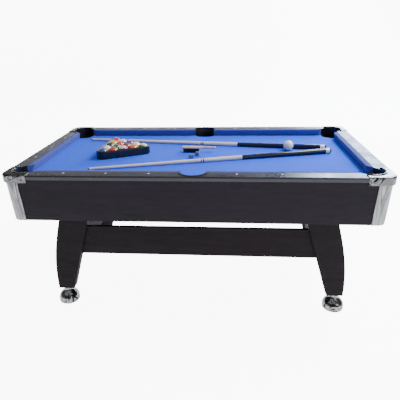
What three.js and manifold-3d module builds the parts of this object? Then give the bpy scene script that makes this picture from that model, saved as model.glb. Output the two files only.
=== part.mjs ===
// A six-foot home pool table with its play set: a box cabinet on four splayed panel legs with levelling
// feet, laminate rails with rubber cushions, drop pockets, chromed corner caps, and balls, rack, cues, brush
// and chalk. Millimetres. +X runs along the table to the right, +Y to the back, +Z up. The origin is on the
// floor, under the middle of the bed.
import * as THREE from "three";
import { mergeVertices } from "three/addons/utils/BufferGeometryUtils.js";
import Module from "manifold-3d";

const wasm = await Module();
wasm.setup();

// ---- overall ----
const tableLength = 1830; // over the rails
const tableWidth = 1008;
const tableHeight = 800; // floor to rail top
const fit = 0.3; // gap between pieces that touch
const overcut = 1; // how far a cutting shape runs past what it cuts

// ---- rails, cushions and bed ----
const railWidth = 68; // wood, outer edge to cushion
const railThickness = 22;
const railRound = 7; // radius of the rail's top outer edge
const railEase = 3; // radius of its lower outer edge
const railLipWidth = 38; // the strip under a rail that stands on the bed
const cushionDepth = 27; // wood to nose
const cushionNose = 36.5; // cloth to the middle of the nose
const cushionNoseRadius = 3;
const cushionNoseArc = 0.65; // half turns the nose goes round, from its top
const cushionFoot = 0.5; // the face's foot, back from the nose, as a share of the depth
const cushionFaceBack = 0.45; // where the face turns down to its foot, back and up in the same shares
const cushionFaceUp = 0.2;
const bedDepth = 40; // rail top down to the cloth
const clothThickness = 1.5;
const clothTuck = 13; // cloth that runs on under the rails
const bedThickness = 18;

// ---- pockets ----
const cornerJawLap = 0.7; // how far each cushion jaw stands in over the pocket's wall
const cornerPocketRadius = 55;
const middleMouth = 120; // between the two noses
const middleJawFlare = 6; // how much wider each jaw is at the wood
const middleTopWidth = 122; // the opening at rail height, along the rail
const middleTopDepth = 98;
const middleTopOffset = 26; // its middle, out from the nose line
const middleCupWidth = 120; // the cup below it
const middleCupDepth = 80;
const middleCupOffset = 18;
const flangeWidth = 9;
const flangeThickness = 5;
const flangeProud = 2; // above the rail
const linerWall = 3;
const cupDepth = 110; // cloth down to the underside of a cup
const holeGap = 0.75; // a liner to the boards and rails round it
const capGap = 0.6; // a liner to the cap round it

// ---- corner caps and trims ----
const capWing = 130; // table corner to the end of a wing
const capHeight = 39;
const capCrown = 3; // above the rail
const capWall = 4;
const capRadius = 50;
const capEdge = 6; // rounding of the cap's top edge
const beadWidth = 8; // raised bead round the pocket
const beadHeight = 5;
const beadShoulder = 0.6; // the bead's lower step, as a share of its height
const beadCrest = 0.7; // its upper step, as a share of its width
const trimInset = 13; // rail's outer edge to the trim's foot
const trimLean = 6; // how much further out the cabinet is at its top
const trimWing = 74;
const trimThickness = 3;
const trimRadius = 48;

// ---- cabinet ----
const apronHeight = 216;
const apronThickness = 16;
const panelThickness = 12;
const panelRecess = 5; // apron's lower edge up to the bottom panel
const beamThickness = 18;
const beamSpacing = 450;
const beamToCup = 2; // the middle beam's ends to the middle cups

// ---- legs, stretchers and feet ----
const footFromEnd = 175; // table's end to a foot's middle
const legFromSide = 114; // rail's outer edge to a leg's outer face
const legDepth = 50;
const legTopInner = -195; // the leg's outline, from the foot's middle, outwards positive
const legTopOuter = -42;
const legBowHigh = 12; // the outer edge's two curve handles, out from the foot's middle
const legBowHighAt = 0.65; // and up the leg, as a share of its height
const legBowLow = 46;
const legBowLowAt = 0.36;
const legBottomOuter = 41;
const legBottomInner = -46;
const stretcherDrop = 87; // apron's lower edge to the stretchers' top edge
const stretcherHeight = 164;
const stretcherThickness = 18;
const endStretcherFromFoot = 104;
const footHeight = 88;
const footRadius = 56;
const footBell = [
  // in from the widest radius, up from the floor
  [5, 0],
  [0, 5],
  [0, 26],
  [4, 37],
  [13, 50],
  [25, 62],
  [35, 72],
];
const footNeckRadius = 19;
const studRadius = 6;
const studLength = 46; // above the foot's shoulder
const studClearance = 1.5;
const studRoom = 14; // hole beyond the stud's end

// ---- play set ----
const ballDiameter = 57.2;
const ballNeck = 3; // radius of the thin bars that hold the racked balls as one solid
const ballNeckSides = 5;
const rackRows = 5;
const rackWall = 8;
const rackHeight = 46;
const rackClearance = 0.6;
const rackCentre = [-462, 20];
const rackTurn = 26.4; // degrees
const cueBallPlace = [505, 64];
const backCueLength = 1470;
const frontCueLength = 1325;
const cueButtLength = 735;
const cueTipRadius = 6.5;
const cueButtRadius = 14.5;
const cueBumper = 12;
const cueBumperRound = 3;
const cueBumperStep = 1; // the bumper in from the butt
const cueTipStraight = 30; // the last stretch, no longer tapering
const cueTipCrown = 3; // length of the rounded end
const cueTipFlat = 2; // the flat end, in from the tip's radius
const cueSides = 16;
const backCueButt = [722, 77];
const backCueTurn = 171.5; // degrees, butt to tip
const frontCueButt = [733, 14];
const frontCueTurn = 193.8;
const brushPlace = [-5, 26];
const brushTurn = -3;
const brushLength = 192;
const brushWidth = 30;
const brushWaist = 0.3; // half the handle's width, as a share of the back's
const brushNeckFrom = 0.12; // the neck's two curve handles, from the middle, in shares of the length
const brushNeckTo = 0.3;
const brushBackHeight = 12;
const bristleLength = 96;
const bristleInset = 3;
const bristleHeight = 21;
const chalkSize = 22;
const chalkPlaces = [
  [-42, -90, 20],
  [-10, -42, -15],
];

// ---- worked out ----
const halfLength = tableLength / 2;
const halfWidth = tableWidth / 2;
const woodX = halfLength - railWidth; // inner face of the end rails
const woodY = halfWidth - railWidth;
const noseX = woodX - cushionDepth;
const noseY = woodY - cushionDepth;
const railBottom = tableHeight - railThickness;
const clothTop = tableHeight - bedDepth;
const bedTop = clothTop - clothThickness - fit;
const bedBottom = bedTop - bedThickness;
const apronTop = railBottom - fit;
const apronBottom = apronTop - apronHeight;
const trimX = halfLength - trimInset; // outer faces at the cabinet's foot
const trimY = halfWidth - trimInset;
const apronX = trimX - trimThickness - fit;
const apronY = trimY - trimThickness - fit;
const insideX = apronX - apronThickness - fit;
const insideY = apronY - apronThickness - fit;
const panelBottom = apronBottom + panelRecess;
const panelTop = panelBottom + panelThickness;
const linerRadius = cornerPocketRadius + linerWall;
const cornerMouth = 2 * (linerRadius - cornerJawLap); // between the two cushion jaws
const pocketHole = linerRadius + holeGap;
const capHole = linerRadius + capGap;
const cupBottom = clothTop - cupDepth;
const capX = halfLength - capWing;
const capY = halfWidth - capWing;
const footX = halfLength - footFromEnd;
const legOuterY = halfWidth - legFromSide;
const footY = legOuterY - legDepth / 2;
const legTop = panelBottom - fit;
const legBottom = footHeight + fit;
const playTop = clothTop + fit; // where the play set stands

const arcSteps = 10; // straight pieces in each arc
const turn = (degrees) => (degrees * Math.PI) / 180;

// ---- geometry helpers ----

// A closed three.js geometry as a solid that can be cut and joined.
function solid(geometry) {
  const plain = geometry.index ? geometry.toNonIndexed() : geometry.clone();
  plain.deleteAttribute("normal");
  plain.deleteAttribute("uv");
  const merged = mergeVertices(plain, 1e-4);
  return new wasm.Manifold(
    new wasm.Mesh({
      numProp: 3,
      vertProperties: merged.attributes.position.array,
      triVerts: new Uint32Array(merged.index.array),
    }),
  );
}

// The solid back as a three.js geometry.
function geometryOf(body) {
  const { numProp, vertProperties, triVerts } = body.getMesh();
  const places = new Float32Array((vertProperties.length / numProp) * 3);
  for (let i = 0; i < places.length / 3; i++)
    for (let k = 0; k < 3; k++)
      places[3 * i + k] = vertProperties[numProp * i + k];
  const geometry = new THREE.BufferGeometry();
  geometry.setAttribute("position", new THREE.BufferAttribute(places, 3));
  geometry.setIndex(new THREE.BufferAttribute(new Uint32Array(triVerts), 1));
  const flat = geometry.toNonIndexed();
  flat.computeVertexNormals();
  return flat;
}

const join = (...bodies) => bodies.reduce((a, b) => a.add(b));
const cut = (body, ...tools) => tools.reduce((a, b) => a.subtract(b), body);

// A block between two corners.
function block(low, high) {
  const [w, d, h] = high.map((v, i) => v - low[i]);
  return new THREE.BoxGeometry(w, d, h).translate(
    low[0] + w / 2,
    low[1] + d / 2,
    low[2] + h / 2,
  );
}

// A plan outline raised from one height to another.
function prism(shape, bottom, top) {
  return new THREE.ExtrudeGeometry(shape, {
    depth: top - bottom,
    bevelEnabled: false,
    curveSegments: arcSteps,
  }).translate(0, 0, bottom);
}

const polygon = (points) =>
  new THREE.Shape(points.map(([x, y]) => new THREE.Vector2(x, y)));

function ellipse(x, y, halfX, halfY) {
  const steps = 3 * arcSteps;
  return polygon(
    Array.from({ length: steps }, (_, i) => {
      const a = (2 * Math.PI * i) / steps;
      return [x + halfX * Math.cos(a), y + halfY * Math.sin(a)];
    }),
  );
}

// A section drawn in (y, z), run along x.
function runAlongX(shape, from, to) {
  const axes = new THREE.Matrix4().makeBasis(
    new THREE.Vector3(0, 1, 0),
    new THREE.Vector3(0, 0, 1),
    new THREE.Vector3(1, 0, 0),
  );
  return prism(shape, from, to).applyMatrix4(axes);
}

// A section drawn in (x, z), run along y.
function runAlongY(shape, from, to) {
  const axes = new THREE.Matrix4().makeBasis(
    new THREE.Vector3(1, 0, 0),
    new THREE.Vector3(0, 0, 1),
    new THREE.Vector3(0, -1, 0),
  );
  return prism(shape, -to, -from).applyMatrix4(axes);
}

// Leans a piece of the cabinet outwards from its lower edge up.
function lean(geometry, outX, outY) {
  const p = geometry.attributes.position;
  for (let i = 0; i < p.count; i++) {
    const rise = (p.getZ(i) - apronBottom) / apronHeight;
    p.setXYZ(i, p.getX(i) + outX * rise, p.getY(i) + outY * rise, p.getZ(i));
  }
  geometry.computeVertexNormals();
  return geometry;
}

const round = (profile, steps = 2 * arcSteps - 2) =>
  new THREE.LatheGeometry(
    profile.map(([r, z]) => new THREE.Vector2(r, z)),
    steps,
  ).rotateX(Math.PI / 2);

// ---- materials ----
const finish = (color, roughness, metalness = 0) =>
  new THREE.MeshStandardMaterial({ color, roughness, metalness });
const laminate = finish(0x1b1b1f, 0.22);
const cabinetBlack = finish(0x262429, 0.5);
const cloth = finish(0x3f76e0, 0.95);
const chrome = finish(0xd4d6da, 0.12, 1);
const satinSilver = finish(0xc9cacc, 0.35, 1);
const pocketBlack = finish(0x0c0c10, 0.45);
const rawBoard = finish(0x9a7a52, 0.8);
const ivory = finish(0xf4f1e6, 0.12);
const ballColours = finish(0xb02a22, 0.12);
const rackBlack = finish(0x141417, 0.4);
const maple = finish(0xe3cfa4, 0.3);
const buttNavy = finish(0x12162b, 0.2);
const brushWood = finish(0xd9c39a, 0.5);
const bristleBlack = finish(0x1a211f, 0.9);
const chalkBlue = finish(0x5b74a8, 0.95);

const table = new THREE.Group();
function place(name, geometry, material, parent = table) {
  const mesh = new THREE.Mesh(geometry, material);
  mesh.name = name;
  parent.add(mesh);
  return mesh;
}

// One piece for each corner of the table, drawn at +X +Y and mirrored into place.
const corners = [
  ["front_left", -1, -1],
  ["front_right", 1, -1],
  ["back_left", -1, 1],
  ["back_right", 1, 1],
];
function placeAtCorners(name, geometry, material) {
  for (const [where, x, y] of corners)
    place(`${where}_${name}`, geometry, material).scale.set(x, y, 1);
}
const sides = [
  ["front", -1],
  ["back", 1],
];
const ends = [
  ["left", -1],
  ["right", 1],
];

// ---- pocket outlines ----

// A corner pocket's plan: straight sides back towards the bed, and half a circle round its middle, on the
// diagonal through the meeting of the nose lines.
function cornerPocket(radius, back, bottom, top) {
  const outline = new THREE.Shape();
  outline.moveTo(-back, -radius);
  outline.lineTo(0, -radius);
  outline.absarc(0, 0, radius, -Math.PI / 2, Math.PI / 2, false);
  outline.lineTo(-back, radius);
  outline.closePath();
  return prism(outline, bottom, top)
    .rotateZ(Math.PI / 4)
    .translate(noseX, noseY, 0);
}
const cornerHole = (radius, bottom, top) =>
  prism(ellipse(noseX, noseY, radius, radius), bottom, top);

const middleTop = (grow, bottom, top) =>
  prism(
    ellipse(
      0,
      noseY + middleTopOffset,
      middleTopWidth / 2 + grow,
      middleTopDepth / 2 + grow,
    ),
    bottom,
    top,
  );
const middleCup = (grow, bottom, top) =>
  prism(
    ellipse(
      0,
      noseY + middleCupOffset,
      middleCupWidth / 2 + grow,
      middleCupDepth / 2 + grow,
    ),
    bottom,
    top,
  );

// ---- bed and cloth ----

// A board with its four corner and two middle pockets cut out, out to its edges.
function pocketedBoard(halfX, halfY, bottom, top) {
  let board = solid(block([-halfX, -halfY, bottom], [halfX, halfY, top]));
  const low = bottom - overcut;
  const high = top + overcut;
  const cornerCut = join(
    solid(cornerHole(pocketHole, low, high)),
    solid(
      block([noseX, noseY, low], [halfX + overcut, halfY + overcut, high]),
    ),
  );
  const middleHalf = middleCupWidth / 2 + linerWall + holeGap;
  const middleCut = join(
    solid(middleCup(linerWall + holeGap, low, high)),
    solid(
      block(
        [-middleHalf, noseY + middleCupOffset, low],
        [middleHalf, halfY + overcut, high],
      ),
    ),
  );
  for (const [, x, y] of corners)
    board = board.subtract(cornerCut.scale([x, y, 1]));
  for (const [, y] of sides)
    board = board.subtract(middleCut.scale([1, y, 1]));
  return geometryOf(board);
}
place(
  "play_bed",
  pocketedBoard(insideX, insideY, bedBottom, bedTop),
  rawBoard,
);
place(
  "bed_cloth",
  pocketedBoard(
    woodX + clothTuck,
    woodY + clothTuck,
    clothTop - clothThickness,
    clothTop,
  ),
  cloth,
);

// ---- rails ----

// A rail's section: out is the distance from the middle of the table to its outer edge.
function railSection(out) {
  const inner = out - railWidth;
  const section = new THREE.Shape();
  section.moveTo(inner, clothTop + fit);
  section.lineTo(inner + railLipWidth, clothTop + fit);
  section.lineTo(inner + railLipWidth, railBottom);
  section.lineTo(out - railEase, railBottom);
  section.absarc(
    out - railEase,
    railBottom + railEase,
    railEase,
    -Math.PI / 2,
    0,
    false,
  );
  section.lineTo(out, tableHeight - railRound);
  section.absarc(
    out - railRound,
    tableHeight - railRound,
    railRound,
    0,
    Math.PI / 2,
    false,
  );
  section.lineTo(inner, tableHeight);
  section.closePath();
  return section;
}
const pocketLow = clothTop - overcut;
const pocketHigh = tableHeight + overcut;
const cornerRelief = solid(
  cornerPocket(pocketHole, capWing, pocketLow, pocketHigh),
);
const bothEnds = (tool) => join(tool, tool.scale([-1, 1, 1]));
const bothSides = (tool) => join(tool, tool.scale([1, -1, 1]));

const longRail = geometryOf(
  cut(
    solid(runAlongX(railSection(halfWidth), -capX + fit, capX - fit)),
    bothEnds(cornerRelief),
    solid(middleTop(flangeWidth + fit, pocketLow, pocketHigh)),
  ),
);
for (const [where, y] of sides)
  place(`${where}_rail`, longRail, laminate).scale.set(1, y, 1);
const endRail = geometryOf(
  cut(
    solid(runAlongY(railSection(halfLength), -capY + fit, capY - fit)),
    bothSides(cornerRelief),
  ),
);
for (const [where, x] of ends)
  place(`${where}_rail`, endRail, laminate).scale.set(x, 1, 1);

// ---- cushions ----

// A cushion's section: a back face on the wood, a nearly flat top, a rounded nose and a face that
// undercuts it.
function cushionSection(wood) {
  const back = wood - fit;
  const nose = wood - cushionDepth;
  const noseZ = clothTop + cushionNose;
  const section = new THREE.Shape();
  section.moveTo(back, clothTop + fit);
  section.lineTo(back, tableHeight);
  section.lineTo(
    nose + cushionNoseRadius,
    noseZ + cushionNoseRadius,
  );
  section.absarc(
    nose + cushionNoseRadius,
    noseZ,
    cushionNoseRadius,
    Math.PI / 2,
    Math.PI * (0.5 + cushionNoseArc),
    false,
  );
  section.lineTo(
    nose + cushionDepth * cushionFaceBack,
    clothTop + cushionDepth * cushionFaceUp,
  );
  section.lineTo(nose + cushionDepth * cushionFoot, clothTop + fit);
  section.closePath();
  return section;
}
const jaw = (cornerMouth / 2) * Math.SQRT2; // nose lines' crossing to a jaw's tip
const longCushion = geometryOf(
  solid(runAlongX(cushionSection(woodY), 0, noseX)).intersect(
    solid(
      prism(
        polygon([
          [middleMouth / 2, noseY],
          [noseX - jaw, noseY],
          [noseX - jaw + cushionDepth, woodY],
          [middleMouth / 2 + middleJawFlare, woodY],
        ]),
        pocketLow,
        pocketHigh,
      ),
    ),
  ),
);
placeAtCorners("cushion", longCushion, cloth);
const endCushion = geometryOf(
  solid(runAlongY(cushionSection(woodX), -noseY, noseY)).intersect(
    solid(
      prism(
        polygon([
          [noseX, jaw - noseY],
          [woodX, jaw - noseY - cushionDepth],
          [woodX, noseY + cushionDepth - jaw],
          [noseX, noseY - jaw],
        ]),
        pocketLow,
        pocketHigh,
      ),
    ),
  ),
);
for (const [where, x] of ends)
  place(`${where}_end_cushion`, endCushion, cloth).scale.set(x, 1, 1);

// ---- pocket liners ----

// Each liner is a moulded cup under the bed whose wall runs on up to rail height behind the pocket, and is
// open to the bed in front.
const cupRim = clothTop - clothThickness; // the cup's edge, just under the cloth
const farSide = (fromX, fromY, bottom, top) =>
  solid(
    block(
      [fromX, fromY, bottom],
      [halfLength + capWing, halfWidth + capWing, top],
    ),
  );
const wallStart = clothTop + fit;
const cornerLiner = cut(
  join(
    solid(cornerHole(linerRadius, cupBottom, cupRim)),
    solid(
      cornerPocket(linerRadius, 0, cupRim - overcut, wallStart + overcut),
    ),
    solid(
      cornerPocket(
        linerRadius,
        cornerMouth / 2 - cushionDepth * Math.SQRT2,
        wallStart,
        tableHeight - fit,
      ),
    ),
  ),
  solid(cornerHole(cornerPocketRadius, cupBottom + linerWall, pocketHigh)),
  solid(
    cornerPocket(cornerPocketRadius, capWing, wallStart, pocketHigh),
  ),
);
placeAtCorners("pocket_liner", geometryOf(cornerLiner), pocketBlack);

const shelfTop = railBottom + linerWall + 2 * fit;
const behindCushion = (bottom, top) =>
  farSide(-middleTopWidth, woodY + fit, bottom, top);
const middleLiner = cut(
  join(
    solid(middleCup(linerWall, cupBottom, cupRim)),
    solid(middleCup(linerWall, cupRim - overcut, shelfTop)).intersect(
      behindCushion(cupRim - 2 * overcut, shelfTop),
    ),
    solid(middleTop(linerWall, railBottom + fit, tableHeight)).intersect(
      behindCushion(railBottom, pocketHigh),
    ),
    solid(
      middleTop(
        flangeWidth,
        tableHeight + flangeProud - flangeThickness,
        tableHeight + flangeProud,
      ),
    ).intersect(behindCushion(railBottom, pocketHigh + flangeProud)),
  ),
  solid(middleCup(0, cupBottom + linerWall, pocketHigh)),
  solid(middleTop(0, shelfTop, pocketHigh + flangeProud)),
);
for (const [where, y] of sides)
  place(
    `${where}_middle_pocket_liner`,
    geometryOf(middleLiner),
    pocketBlack,
  ).scale.set(1, y, 1);

// ---- corner caps ----

// The cap's plan: two wings along the rails and a rounded corner. inset draws the outer edges in.
function capPlan(inset) {
  const x = halfLength - inset;
  const y = halfWidth - inset;
  const r = capRadius - inset;
  const plan = new THREE.Shape();
  plan.moveTo(capX, woodY + fit);
  plan.lineTo(woodX + fit, woodY + fit);
  plan.lineTo(woodX + fit, capY);
  plan.lineTo(x, capY);
  plan.lineTo(x, y - r);
  plan.absarc(x - r, y - r, r, 0, Math.PI / 2, false);
  plan.lineTo(capX, y);
  plan.closePath();
  return plan;
}
const capTop = tableHeight + capCrown;
const capBottom = capTop - capHeight;
const capEnvelope = solid(prism(capPlan(0), capBottom, capTop + beadHeight));
const capBody = join(
  solid(prism(capPlan(0), capBottom, capTop - capEdge)),
  ...[0.4, 0.8, 1].map((share) =>
    solid(
      prism(
        capPlan(capEdge * (1 - Math.sqrt(1 - share * share))),
        capTop - capEdge - overcut,
        capTop - capEdge + share * capEdge,
      ),
    ),
  ),
);
const capBead = join(
  solid(
    cornerPocket(
      capHole + beadWidth,
      capWing,
      capTop - overcut,
      capTop + beadHeight * beadShoulder,
    ),
  ),
  solid(
    cornerPocket(
      capHole + beadWidth * beadCrest,
      capWing,
      capTop - overcut,
      capTop + beadHeight,
    ),
  ),
).intersect(capEnvelope);
const capHollow = cut(
  solid(
    prism(
      capPlan(capWall),
      capBottom - overcut,
      capTop - capEdge - capWall,
    ),
  ),
  solid(
    cornerPocket(
      capHole + capWall,
      capWing,
      capBottom - 2 * overcut,
      capTop,
    ),
  ),
);
const cap = cut(
  join(capBody, capBead),
  capHollow,
  solid(
    cornerPocket(
      capHole,
      capWing,
      capBottom - 2 * overcut,
      capTop + beadHeight + overcut,
    ),
  ),
);
placeAtCorners("corner_cap", geometryOf(cap), chrome);

// ---- cabinet ----
function trimPlan() {
  const inner = trimRadius - trimThickness;
  const cx = trimX - trimRadius;
  const cy = trimY - trimRadius;
  const plan = new THREE.Shape();
  plan.moveTo(trimX - trimWing, trimY);
  plan.lineTo(trimX - trimWing, trimY - trimThickness);
  plan.lineTo(cx, trimY - trimThickness);
  plan.absarc(cx, cy, inner, Math.PI / 2, 0, true);
  plan.lineTo(trimX - trimThickness, trimY - trimWing);
  plan.lineTo(trimX, trimY - trimWing);
  plan.lineTo(trimX, cy);
  plan.absarc(cx, cy, trimRadius, 0, Math.PI / 2, false);
  plan.closePath();
  return plan;
}
placeAtCorners(
  "corner_trim",
  lean(prism(trimPlan(), apronBottom, apronTop), trimLean, trimLean),
  satinSilver,
);

const apronEndX = trimX - trimRadius;
const apronEndY = trimY - trimRadius;
const longApron = lean(
  block(
    [-apronEndX, apronY - apronThickness, apronBottom],
    [apronEndX, apronY, apronTop],
  ),
  0,
  trimLean,
);
for (const [where, y] of sides)
  place(`${where}_apron`, longApron, cabinetBlack).scale.set(1, y, 1);
const endApron = lean(
  block(
    [apronX - apronThickness, -apronEndY, apronBottom],
    [apronX, apronEndY, apronTop],
  ),
  trimLean,
  0,
);
for (const [where, x] of ends)
  place(`${where}_apron`, endApron, cabinetBlack).scale.set(x, 1, 1);

place(
  "bottom_panel",
  block([-insideX, -insideY, panelBottom], [insideX, insideY, panelTop]),
  cabinetBlack,
);
const cupReach = noseY + middleCupOffset - middleCupDepth / 2 - linerWall;
for (const [where, x, reach] of [
  ["left", -beamSpacing, insideY],
  ["middle", 0, cupReach - beamToCup],
  ["right", beamSpacing, insideY],
])
  place(
    `${where}_bed_beam`,
    block(
      [x - beamThickness / 2, -reach, panelTop + fit],
      [x + beamThickness / 2, reach, bedBottom - fit],
    ),
    rawBoard,
  );

// ---- legs, stretchers and feet ----
const legHeight = legTop - legBottom;
const legInner = (z) =>
  footX +
  THREE.MathUtils.mapLinear(
    z,
    legBottom,
    legTop,
    legBottomInner,
    legTopInner,
  );
function legOutline() {
  const outline = new THREE.Shape();
  outline.moveTo(footX + legBottomInner, legBottom);
  outline.lineTo(footX + legBottomOuter, legBottom);
  outline.bezierCurveTo(
    footX + legBowLow,
    legBottom + legHeight * legBowLowAt,
    footX + legBowHigh,
    legBottom + legHeight * legBowHighAt,
    footX + legTopOuter,
    legTop,
  );
  outline.lineTo(footX + legTopInner, legTop);
  outline.closePath();
  return outline;
}
const studHole = round([
  [0, -overcut],
  [studRadius + studClearance, -overcut],
  [studRadius + studClearance, studLength + studRoom],
  [0, studLength + studRoom],
]).translate(footX, footY, legBottom);
const leg = geometryOf(
  solid(runAlongY(legOutline(), legOuterY - legDepth, legOuterY)).subtract(
    solid(studHole),
  ),
);
placeAtCorners("leg", leg, cabinetBlack);

const foot = round([
  [0, 0],
  ...footBell.map(([inset, height]) => [footRadius - inset, height]),
  [footNeckRadius, footHeight],
  [studRadius, footHeight],
  [studRadius, footHeight + studLength],
  [0, footHeight + studLength],
]).translate(footX, footY, 0);
placeAtCorners("levelling_foot", foot, chrome);

const stretcherTop = apronBottom - stretcherDrop;
const stretcherBottom = stretcherTop - stretcherHeight;
const longStretcher = runAlongY(
  polygon([
    [-legInner(stretcherBottom) + fit, stretcherBottom],
    [legInner(stretcherBottom) - fit, stretcherBottom],
    [legInner(stretcherTop) - fit, stretcherTop],
    [-legInner(stretcherTop) + fit, stretcherTop],
  ]),
  footY - stretcherThickness / 2,
  footY + stretcherThickness / 2,
);
for (const [where, y] of sides)
  place(`${where}_stretcher`, longStretcher, cabinetBlack).scale.set(1, y, 1);
const endStretcherX = footX - endStretcherFromFoot;
const endReach = footY - legDepth / 2 - fit;
const endStretcher = block(
  [endStretcherX - stretcherThickness / 2, -endReach, stretcherBottom],
  [endStretcherX + stretcherThickness / 2, endReach, legTop],
);
for (const [where, x] of ends)
  place(`${where}_end_stretcher`, endStretcher, cabinetBlack).scale.set(
    x,
    1,
    1,
  );

// ---- play set ----
const ballRadius = ballDiameter / 2;
const ball = (x, y, radius = ballRadius, around = 2 * arcSteps) =>
  new THREE.SphereGeometry(radius, around, around / 2).translate(
    x,
    y,
    playTop + ballRadius,
  );
place("cue_ball", ball(...cueBallPlace), ivory);

// The fifteen racked balls stand side by side, and thin bars from each to the next make them one solid.
const rowStep = ballDiameter * Math.sin(turn(60));
const rackMiddleRow = (2 / 3) * (rackRows - 1); // rows down to the middle of the rack
const rackedPlaces = [];
for (let row = 0; row < rackRows; row++)
  for (let i = 0; i <= row; i++)
    rackedPlaces.push([
      (i - row / 2) * ballDiameter,
      (rackMiddleRow - row) * rowStep,
    ]);
const bar = ([x, y], [u, v]) =>
  new THREE.CylinderGeometry(ballNeck, ballNeck, ballDiameter, ballNeckSides)
    .rotateZ(Math.atan2(v - y, u - x) - Math.PI / 2)
    .translate((x + u) / 2, (y + v) / 2, playTop + ballRadius);
const onRack = (geometry) =>
  geometry
    .rotateZ(turn(rackTurn))
    .translate(rackCentre[0], rackCentre[1], 0);
const bars = [];
rackedPlaces.forEach(([x, y], i) => {
  const sideBall = rackedPlaces[i + 1];
  const rowStart = rackedPlaces.findIndex((p) => p[1] === y);
  const sameRow = sideBall && sideBall[1] === y;
  if (sameRow) bars.push(bar([x, y], sideBall));
  if (rowStart === i && i > 0)
    bars.push(bar([x, y], [x + ballDiameter / 2, y + rowStep]));
});
place(
  "object_balls",
  onRack(
    geometryOf(
      join(
        ...rackedPlaces.map(([x, y]) =>
          solid(ball(x, y, ballRadius - fit / 2, arcSteps)),
        ),
        ...bars.map(solid),
      ),
    ),
  ),
  ballColours,
);

// The rack: a rounded triangle round the corner balls.
function roundTriangle(radius, path) {
  const far = [0, 120, 240].map((a) => turn(a + 90));
  const reach = rackMiddleRow * rowStep;
  far.forEach((a, i) => {
    const x = reach * Math.cos(a);
    const y = reach * Math.sin(a);
    const from = a - turn(60);
    const to = a + turn(60);
    if (i === 0)
      path.moveTo(x + radius * Math.cos(from), y + radius * Math.sin(from));
    path.absarc(x, y, radius, from, to, false);
  });
  path.closePath();
  return path;
}
const rackPlan = roundTriangle(
  ballRadius + rackClearance + rackWall,
  new THREE.Shape(),
);
rackPlan.holes.push(
  roundTriangle(ballRadius + rackClearance, new THREE.Path()),
);
place(
  "ball_rack",
  onRack(prism(rackPlan, playTop, playTop + rackHeight)),
  rackBlack,
);

// Cues, drawn from the butt along +X with their lower side on the cloth, then turned into place.
function cuePiece(profile, length, [x, y], degrees) {
  const rise = Math.asin((cueButtRadius - cueTipRadius) / length);
  return round(profile, cueSides)
    .rotateY(Math.PI / 2 + rise)
    .translate(0, 0, cueButtRadius)
    .rotateZ(turn(degrees))
    .translate(x, y, playTop);
}
for (const [where, length, butt, degrees] of [
  ["back", backCueLength, backCueButt, backCueTurn],
  ["front", frontCueLength, frontCueButt, frontCueTurn],
]) {
  const jointRadius = THREE.MathUtils.lerp(
    cueButtRadius,
    cueTipRadius,
    cueButtLength / length,
  );
  place(
    `${where}_cue_butt`,
    cuePiece(
      [
        [0, 0],
        [cueButtRadius - cueBumperStep - cueBumperRound, 0],
        [cueButtRadius - cueBumperStep, cueBumperRound],
        [cueButtRadius - cueBumperStep, cueBumper],
        [cueButtRadius, cueBumper + 2 * cueBumperStep],
        [jointRadius, cueButtLength],
        [0, cueButtLength],
      ],
      length,
      butt,
      degrees,
    ),
    buttNavy,
  );
  place(
    `${where}_cue_shaft`,
    cuePiece(
      [
        [0, cueButtLength + fit],
        [jointRadius, cueButtLength + fit],
        [cueTipRadius, length - cueTipStraight],
        [cueTipRadius, length - cueTipCrown],
        [cueTipRadius - cueTipFlat, length],
        [0, length],
      ],
      length,
      butt,
      degrees,
    ),
    maple,
  );
}

// The brush stands on its bristles, handle to the right.
const brush = new THREE.Group();
brush.position.set(...brushPlace, playTop);
brush.rotation.z = turn(brushTurn);
table.add(brush);
const handleWaist = brushWidth * brushWaist;
const brushOutline = new THREE.Shape();
brushOutline.moveTo(-brushLength / 2, -brushWidth / 2);
brushOutline.lineTo(bristleLength - brushLength / 2, -brushWidth / 2);
brushOutline.bezierCurveTo(
  brushLength * brushNeckFrom,
  -handleWaist,
  brushLength * brushNeckTo,
  -handleWaist,
  brushLength / 2 - handleWaist,
  -handleWaist,
);
brushOutline.absarc(
  brushLength / 2 - handleWaist,
  0,
  handleWaist,
  -Math.PI / 2,
  Math.PI / 2,
  false,
);
brushOutline.bezierCurveTo(
  brushLength * brushNeckTo,
  handleWaist,
  brushLength * brushNeckFrom,
  handleWaist,
  bristleLength - brushLength / 2,
  brushWidth / 2,
);
brushOutline.lineTo(-brushLength / 2, brushWidth / 2);
brushOutline.closePath();
place(
  "brush_handle",
  prism(
    brushOutline,
    bristleHeight + fit,
    bristleHeight + fit + brushBackHeight,
  ),
  brushWood,
  brush,
);
place(
  "brush_bristles",
  block(
    [-brushLength / 2 + bristleInset, -brushWidth / 2 + bristleInset, 0],
    [
      bristleLength - brushLength / 2 - bristleInset,
      brushWidth / 2 - bristleInset,
      bristleHeight,
    ],
  ),
  bristleBlack,
  brush,
);

chalkPlaces.forEach(([x, y, degrees], i) => {
  const cube = place(
    `chalk_${i + 1}`,
    new THREE.BoxGeometry(chalkSize, chalkSize, chalkSize),
    chalkBlue,
  );
  cube.position.set(x, y, playTop + chalkSize / 2);
  cube.rotation.z = turn(degrees);
});

export default table;
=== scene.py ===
import math
import random

import bmesh
import bpy
import numpy as np
from mathutils import Matrix, Vector


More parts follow.
